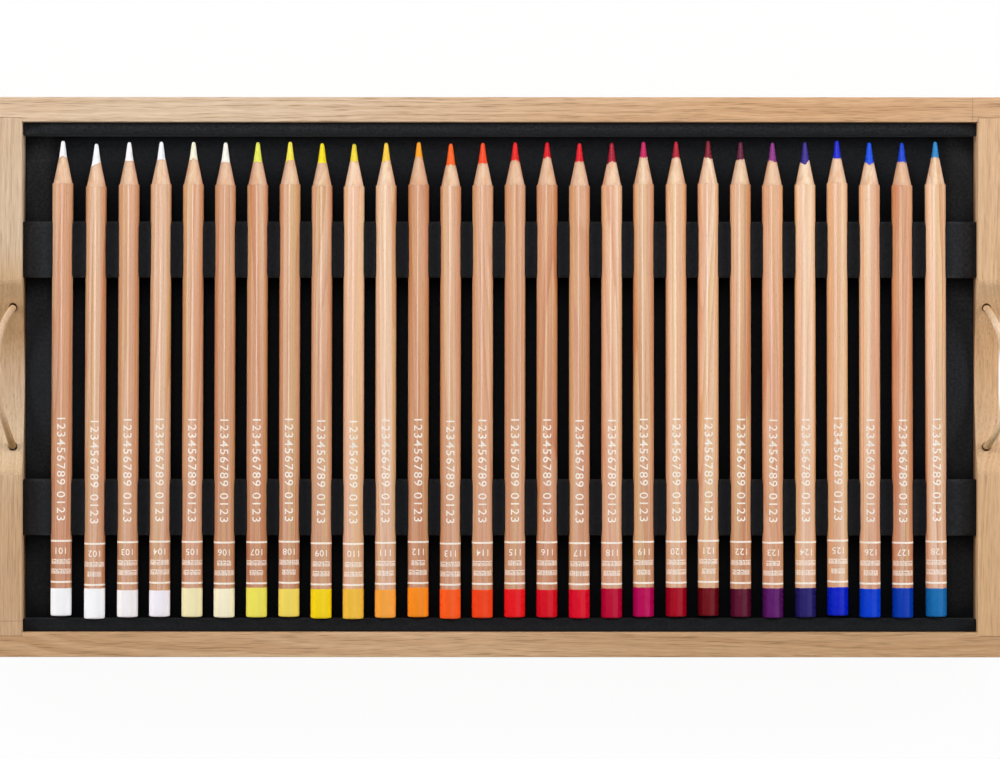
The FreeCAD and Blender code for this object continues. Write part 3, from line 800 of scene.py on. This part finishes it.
def text_shape(text, height, bent, spacing, length=None):
    """Digits as a thin solid: x along the line and centred, y up from the middle, z the two faces' lifts.
    bent is the axis that goes round the barrel, along which they are cut into strips."""
    curve = bpy.data.curves.new("digits", "FONT")
    curve.body = text
    curve.resolution_u = 3
    curve.space_character = spacing
    curve.offset = BOLDER
    holder = put("digits", curve)
    bpy.context.view_layer.update()
    flat = bpy.data.meshes.new_from_object(holder.evaluated_get(bpy.context.evaluated_depsgraph_get()))
    bpy.data.objects.remove(holder)
    bpy.data.curves.remove(curve)
    shape = bmesh.new()
    shape.from_mesh(flat)
    bpy.data.meshes.remove(flat)
    bmesh.ops.remove_doubles(shape, verts=shape.verts, dist=1e-5)
    bmesh.ops.dissolve_limit(shape, angle_limit=0.01, verts=shape.verts, edges=shape.edges)
    bmesh.ops.triangulate(shape, faces=shape.faces)
    low, high = (Vector([end(v.co[k] for v in shape.verts) for k in range(3)]) for end in (min, max))
    scale_y = height / (high.y - low.y)
    scale_x = length / (high.x - low.x) if length else scale_y
    middle = (low + high) / 2
    for vert in shape.verts:
        vert.co = Vector(((vert.co.x - middle.x) * scale_x, (vert.co.y - middle.y) * scale_y, PRINT_LIFT))
    across = Vector([float(k == bent) for k in range(3)])
    strips = math.floor(max(vert.co[bent] for vert in shape.verts) / STRIP_WIDTH)
    for strip in range(-strips, strips + 1):
        everything = shape.verts[:] + shape.edges[:] + shape.faces[:]
        cut = across * strip * STRIP_WIDTH
        bmesh.ops.bisect_plane(shape, geom=everything, dist=1e-4, plane_co=cut, plane_no=across)
    extruded = bmesh.ops.extrude_face_region(shape, geom=list(shape.faces), use_keep_orig=True)
    for item in extruded["geom"]:
        if isinstance(item, bmesh.types.BMVert):
            item.co.z = -PRINT_SINK
    return taken(shape)


DIGITS_SHAPE = text_shape(DIGITS, DIGITS_HEIGHT, 1, DIGITS_SPACING, DIGITS_LENGTH)
NUMBERS = [str(FIRST_NUMBER + n) for n in range(len(PENCILS))]
NUMBER_SHAPES = [text_shape(number, NUMBER_HEIGHT, 0, NUMBER_SPACING) for number in NUMBERS]


def add_pencils():
    ink = print_material()
    pencils = [Pencil(index) for index in range(len(PENCILS))]
    for pencil in pencils:
        wood = (pencil.index, (pencil.axis_x(0) * MM, PENCIL_AXIS * MM), *pencil.tone)
        pencil.barrel(cedar(f"cedar_{pencil.number}", *wood))
        pencil.cone(cedar(f"cedar_bare_{pencil.number}", *wood, bare=True))
        pencil.lead_point(lead_material(f"lead_{pencil.number}", pencil.index, pencil.lead))
        pencil.cap_coat(paint_material(f"paint_{pencil.number}", pencil.index, pencil.cap))
        pencil.ink(ink)
    return pencils


# -------- foam


def soft_slab(name, low, high, radius, material, replaced, swell=0.15):
    """A foam slab with rounded edges and a slightly uneven skin."""
    shape = bmesh.new()
    bmesh.ops.create_cube(shape, size=1.0)
    for vert in shape.verts:
        vert.co = Vector([(low[k] + high[k]) / 2 + vert.co[k] * (high[k] - low[k]) for k in range(3)])
    bmesh.ops.bevel(
        shape, geom=shape.edges[:], offset=radius, segments=3, profile=0.5, affect="EDGES", clamp_overlap=True
    )
    long_edges = [e for e in shape.edges if abs(e.verts[0].co.x - e.verts[1].co.x) > 20]
    bmesh.ops.subdivide_edges(shape, edges=long_edges, cuts=60, use_grid_fill=True)
    for vert in shape.verts:
        if vert.co.z > (low[2] + high[2]) / 2:
            vert.co.z += swell * noise.noise(vert.co * 0.045) - swell * 0.4
            vert.co.y += 0.5 * swell * noise.noise(vert.co * 0.06 + Vector((5, 5, 5)))
    piece = add_piece(name, taken(shape), material, "tray", "foam", replaced=replaced)


# A finger's side from the notch's floor up and over a barrel's upper edge: height (mm) and how far out it is,
# as a share of its lap. It folds over from FOLD_START to the top, and its crest is above FOLD_CREST.
FINGER_SIDE = [
    (NOTCH_FLOOR - 0.4, 0.0), (20.2, 0.0), (21.4, 0.05), (22.0, 0.35), (22.35, 0.75), (22.62, 1.0),
    (22.84, 0.96), (22.92, 0.70), (22.82, 0.30), (22.66, -0.20),
]
FOLD_START = 21.0
FOLD_HEIGHT = 1.9
FOLD_CREST = 22.5


def finger_ring(y, sides, sink, rise):
    """The outline of a foam finger at one place along it: upright beside the barrels, then folded out over
    their upper edges. sides are its left and right foot and how far each fold reaches out; a side that has no
    fold stands against the tray's wall and has a flat top."""
    ring = []
    for way, (foot, lap) in zip((-1, 1), sides):
        edge = []
        for z, out in FINGER_SIDE:
            lift = (rise if z > FOLD_CREST else 0.0) - sink * max(0.0, (z - FOLD_START) / FOLD_HEIGHT)
            if lap == 0.0:
                lift = lift * (z > FOLD_START) - 0.02 * (z - FINGER_SIDE[0][0])
                edge.append((foot, y, min(z, REST_TOP) + lift))
            else:
                edge.append((foot + way * lap * out, y, z + lift))
        ring += edge[::-way]
    return ring


def add_rest(name, low, high, pencils, material, replaced):
    """A foam rest: the strip under the pencils and the fingers between them, lapping over the barrels."""
    skins = []
    steps = [0.0, 0.12, 0.4, 0.8, 1.4, 2.2, 3.2, 4.6, 6.4, 8.4, 10.4]
    places = [low + step for step in steps] + [high - step for step in reversed(steps[:-1])]
    for gap in range(len(pencils) + 1):
        rings = []
        for y in places:
            depth = min(y - low, high - y)
            ease = min(1.0, depth / 2.4)
            ease = ease * ease * (3 - 2 * ease)
            sink = 0.7 * (1 - min(1.0, depth / 0.8)) ** 2
            waver = noise.noise(Vector((gap * 3.1, y * 0.28, low)))
            lap = 0.03 + 0.36 * ease + 0.07 * waver
            sides = [(-INNER_X, 0.0), (INNER_X, 0.0)]
            if gap > 0:
                sides[0] = (pencils[gap - 1].axis_x(y) + NOTCH_HALF_WIDTH, lap)
            if gap < len(pencils):
                sides[1] = (pencils[gap].axis_x(y) - NOTCH_HALF_WIDTH, lap)
            rings.append(finger_ring(y, sides, sink, 0.08 * waver * ease))
        skins.append(loft(rings))
    foot, top = FOAM_TOP - REST_SINK, NOTCH_FLOOR
    corners = [(-INNER_X, foot), (-INNER_X, top), (INNER_X, top), (INNER_X, foot)]
    skins.append(loft([[(x, y, z) for x, z in corners] for y in (low + 0.1, (low + high) / 2, high - 0.1)]))
    piece = add_piece(name, join(*skins), material, "tray", "foam", replaced=replaced)


def add_foam(pencils):
    foam = foam_material("foam_black", [ROW_SHADE, OPEN_SHADE])
    lip_foam = foam_material("foam_lips", [LIP_SHADE])
    low, high = (-INNER_X, -INNER_Y, FOAM_BOTTOM), (INNER_X, INNER_Y, FOAM_TOP)
    soft_slab("foam_sheet", low, high, 0.5, foam, ["foam_base"], swell=0.12)
    for end, y in (("tip", INNER_Y - LIP_WIDTH), ("tail", -INNER_Y)):
        low, high = (-INNER_X, y, FOAM_TOP - LIP_SINK), (INNER_X, y + LIP_WIDTH, REST_TOP)
        soft_slab(f"foam_{end}_lip", low, high, 0.6, lip_foam, [f"{end}_lip"])
    for end, span in (("tip", TIP_REST), ("tail", TAIL_REST)):
        add_rest(f"foam_{end}_rest", *span, pencils, foam, [f"{end}_rest"])


# -------- oak tray


def dress(node_name, material, edge):
    """A CAD node's own shape with a new material, and with its edges rounded by edge (m), by modifiers."""
    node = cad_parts[node_name]
    for holder in node.material_slots:
        holder.material = material
    if not edge:
        return
    node.modifiers.new("weld", "WELD").merge_threshold = 1e-6
    bevel = node.modifiers.new("bevel", "BEVEL")
    bevel.width = edge
    bevel.segments = 2
    bevel.limit_method = "ANGLE"
    bevel.angle_limit = math.radians(35)
    bevel.use_clamp_overlap = True
    node.modifiers.new("normals", "WEIGHTED_NORMAL").weight = 100


# How each board's oak is drawn, as oak() takes it.
BOARDS = {
    "back_rail": dict(
        along="X", pith=(0.030, -0.060, 0.02),
        pale=(224, 199, 172), warm=(218, 176, 135), drift=(-0.20, 0.10, 0.30),
        seams=[("X", 0.1748)],
    ),
    "front_rail": dict(
        along="X", pith=(0.088, -0.032, 0.05),
        pale=(216, 178, 140), warm=(202, 163, 122), drift=(-0.04, 0.03, 0.11),
    ),
    "left_end_wall": dict(
        along="Y", pith=(0.250, 0.110, 0.05),
        pale=(223, 195, 167), warm=(204, 166, 128), drift=(0.17, 0.10, 0.24),
        seams=[("Y", -0.0903)],
        strength=0.65,
        # Painted light and shade over the finger scoop and round the cord, along the wall.
        light_and_shade=[
            (-0.045, 1.00, 1.00, 1.00), (-0.038, 1.05, 1.10, 1.10), (-0.020, 1.18, 1.38, 1.55),
            (-0.010, 1.16, 1.28, 1.40), (0.002, 1.14, 1.17, 1.22), (0.010, 1.00, 0.96, 0.86),
            (0.017, 0.81, 0.73, 0.56), (0.034, 0.90, 0.83, 0.69), (0.048, 0.94, 0.96, 0.96),
        ],
    ),
    "right_end_wall": dict(
        along="Y", pith=(-0.100, 0.110, -0.08),
        pale=(222, 184, 146), warm=(215, 174, 130), drift=(0.17, 0.10, 0.24),
        strength=0.65,
        # Painted light and shade over the finger scoop, along the wall.
        light_and_shade=[
            (-0.045, 1.02, 1.04, 1.08), (-0.020, 1.03, 1.09, 1.20), (-0.006, 1.09, 1.12, 1.13),
            (0.010, 1.07, 1.03, 0.96), (0.020, 1.02, 0.99, 0.92), (0.033, 1.10, 1.13, 1.14),
            (0.045, 1.00, 1.00, 1.00),
        ],
    ),
    "bottom_panel": dict(
        along="X", pith=(0.050, 0.090, 0.02),
        pale=(214, 180, 142), warm=(202, 160, 118), drift=(-0.30, 0.10, 0.50),
    ),
}
# How far the edges of the walls are rounded, in metres. The panel's stand in grooves.
WALL_EDGE = 0.00025


def add_oak():
    for node_name, board in BOARDS.items():
        dress(node_name, oak(f"oak_{node_name}", **board), 0.0 if node_name == "bottom_panel" else WALL_EDGE)


# -------- cords


def loop_points(end, route):
    """The loop's points (m), from the front hole over its route to the back hole."""
    lean = math.radians(LOOP_LEAN)
    flat = [(-CORD_HALF_SPAN, 0.0), *route, (CORD_HALF_SPAN, 0.0)]
    return [
        Vector((end * (HOLE_LINE + up * math.sin(lean)), along, PIVOT_HEIGHT + up * math.cos(lean))) * MM
        for along, up in flat
    ]


def add_loop(end_name, points, material):
    """The free part of a cord loop, from one hole of an end wall to the other, with a round bend in each."""
    name, body = f"{end_name}_loop_cord", f"{end_name}_loop"
    curve = bpy.data.curves.new(name, "CURVE")
    curve.dimensions = "3D"
    spline = curve.splines.new("NURBS")
    spline.points.add(len(points) - 1)
    for target, point in zip(spline.points, points):
        target.co = (*point, 1.0)
    spline.order_u = 3
    spline.use_endpoint_u = True
    spline.resolution_u = 24
    curve.bevel_depth = CORD_RADIUS * MM
    curve.bevel_resolution = 6
    curve.use_fill_caps = True
    curve.materials.append(material)
    piece = put(name, curve)
    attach(piece, body)
    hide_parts(f"{end_name}_cord_loop")
    bends = []
    for point in (points[0], points[-1]):
        x, y, z = (place / MM for place in point)
        rings = []
        for step in range(9):
            angle = math.radians(-88 + 22 * step)
            wide, up = CORD_RADIUS * math.cos(angle), CORD_RADIUS * math.sin(angle)
            rings.append([(x + wide * cosine, y + wide * sine, z + up) for cosine, sine in circle(24)])
        bends.append(loft(rings))
    bend = add_piece(f"{name}_bends", join(*bends), material, body, "cord")


def tube(points, radius, sides):
    """A mesh tube through points in millimetres."""
    rings = []
    across = Vector((0.31, 0.95, 0.05)).normalized()
    for i, point in enumerate(points):
        ahead = (Vector(points[min(i + 1, len(points) - 1)]) - Vector(points[max(i - 1, 0)])).normalized()
        across = (across - ahead * across.dot(ahead)).normalized()
        other = ahead.cross(across)
        turns = [across * cosine + other * sine for cosine, sine in circle(sides)]
        rings.append([Vector(point) + turn * radius for turn in turns])
    return loft(rings)


def add_anchor(name, end, side, material):
    """The anchored end of a cord: up its hole to the bend, and a tight overhand knot in the bore below."""
    x, y = end * HOLE_LINE, side * CORD_HALF_SPAN
    stem = [(x, y, z) for z in (KNOT_HEIGHT, 10.0, 15.0, 19.0, PIVOT_HEIGHT - 0.5, PIVOT_HEIGHT - 0.1)]
    knot = []
    for step in range(73):
        t = math.radians(5 * step)
        across = 0.46 * (math.sin(t) + 2 * math.sin(2 * t))
        along = 0.46 * (math.cos(t) - 2 * math.cos(2 * t))
        knot.append((x + across, y + along, KNOT_HEIGHT + 0.55 - 0.85 * math.sin(3 * t)))
    skins = [tube(stem, CORD_RADIUS - 0.02, 20), tube(knot, 1.0, 12)]
    add_piece(f"{name}_stem", join(*skins), material, "tray", "cord", replaced=[name])


# Painted light and shade on the cords, lighter where they catch the light and darker where they are in shade:
# place along Y (m) and tone.
CORD_LIGHT_AND_SHADE = {
    "left": [
        (-0.0250, 0.42, 0.36, 0.22), (-0.0225, 0.56, 0.47, 0.32), (-0.0185, 0.76, 0.68, 0.54),
        (-0.0130, 0.92, 0.90, 0.88), (0.0000, 1.00, 1.00, 1.00), (0.0225, 0.93, 0.95, 0.98),
        (0.0260, 0.88, 0.86, 0.77),
    ],
    "right": [
        (-0.0250, 0.78, 0.75, 0.60), (-0.0230, 0.84, 0.83, 0.74), (-0.0210, 1.08, 1.12, 1.02),
        (-0.0170, 1.20, 1.32, 1.45), (0.0000, 1.05, 1.08, 1.10), (0.0190, 1.12, 1.20, 1.30),
        (0.0260, 0.87, 0.86, 0.76),
    ],
}


def add_cords():
    for name, (end, route, length) in LOOPS.items():
        leather = leather_material(f"{name}_cord_leather", CORD_LIGHT_AND_SHADE[name])
        add_loop(name, loop_points(end, route), leather)
        for side_name, side in (("front", -1), ("back", 1)):
            add_anchor(f"{name}_cord_{side_name}_end", end, side, leather)


# -------- stage, light and camera


# The floor is a square with this half side (m), and this share of what shows of it is plain white.
FLOOR_REACH = 3.0
FLOOR_GLOW = 0.95


def add_floor():
    s = Shader("floor", Roughness=0.9, Specular_IOR_Level=0.0)
    s.colour((0.86, 0.86, 0.86, 1))
    glow = s.node("Emission", {"Color": (1, 1, 1, 1), "Strength": 1.0}).outputs[0]
    blend = s.node("MixShader", {0: s.times(s.seen(), FLOOR_GLOW), 1: s.main.outputs[0], 2: glow})
    s.feed(blend.outputs[0], s.tree.nodes["Material Output"].inputs["Surface"])
    mesh = bpy.data.meshes.new("floor")
    shape = bmesh.new()
    bmesh.ops.create_grid(shape, x_segments=8, y_segments=8, size=FLOOR_REACH)
    shape.to_mesh(mesh)
    shape.free()
    mesh.materials.append(s.material)
    put("floor", mesh)


# The studio is a tent: the world is this bright overhead, and this much brighter at the left and right.
TENT_TOP = 0.10
TENT_SIDES = 0.30
# Soft boxes: name, place, what it points at, width, height (m), watts, if diffuse and if glossy rays see it.
SOFT_BOXES = [
    ("key", (-0.33, 0.42, 3.0), (-0.33, 0.42, 0.0), 0.35, 1.10, 8.5, (True, True)),
    ("gleam", (-0.10, 1.30, 2.75), (-0.10, 0.08, 0.02), 0.60, 0.70, 20.0, (False, True)),
    ("back", (0.0, 0.50, 0.55), (0.0, 0.0, 0.02), 0.80, 0.30, 1.8, (True, False)),
    ("left", (-1.20, 0.35, 0.60), (0.0, 0.0, 0.02), 1.30, 0.45, 13.5, (True, False)),
    ("right", (1.20, 0.35, 0.60), (0.0, 0.0, 0.02), 1.30, 0.45, 13.5, (True, False)),
]


def add_world():
    world = bpy.data.worlds.new("studio")
    bpy.context.scene.world = world
    world.use_nodes = True
    n = Nodes(world.node_tree)
    sideways = n.parts(n.node("TexCoord").outputs["Generated"])["X"]
    level = n.maths("MULTIPLY_ADD", n.times(sideways, sideways), TENT_SIDES, TENT_TOP)
    tent, white = (
        n.node("Background", {"Color": (1, 1, 1, 1), "Strength": strength}).outputs[0]
        for strength in (level, 1.0)
    )
    mixed = n.node("MixShader", {0: n.seen(), 1: tent, 2: white}).outputs[0]
    n.feed(mixed, n.tree.nodes["World Output"].inputs["Surface"])


def add_lights():
    for name, place, target, width, height, watts, seen in SOFT_BOXES:
        light = bpy.data.lights.new(name, "AREA")
        light.shape = "RECTANGLE"
        light.size = width
        light.size_y = height
        light.energy = watts
        holder = put(name, light)
        holder.location = place
        holder.rotation_euler = (Vector(target) - Vector(place)).to_track_quat("-Z", "Y").to_euler()
        holder.visible_diffuse, holder.visible_glossy = seen


# The camera looks straight down: its place (m), its lens (mm), its shift and how far it is turned (degrees).
CAMERA_PLACE = (-0.0188, -0.00088, 1.376)
CAMERA_LENS = 131.4
CAMERA_SHIFT = 0.051
CAMERA_TURN = 0.023


def add_camera():
    camera = bpy.data.cameras.new("camera")
    camera.sensor_width = 36.0
    camera.lens = CAMERA_LENS
    camera.shift_x = CAMERA_SHIFT
    camera.clip_start = 0.05
    camera.clip_end = 20.0
    holder = put("camera", camera)
    holder.location = CAMERA_PLACE
    holder.rotation_euler = Euler((0, 0, math.radians(CAMERA_TURN)))
    bpy.context.scene.camera = holder
    bpy.context.scene.view_settings.view_transform = "Standard"


add_camera()
add_world()
add_lights()
add_floor()
add_cords()
add_oak()
add_foam(add_pencils())
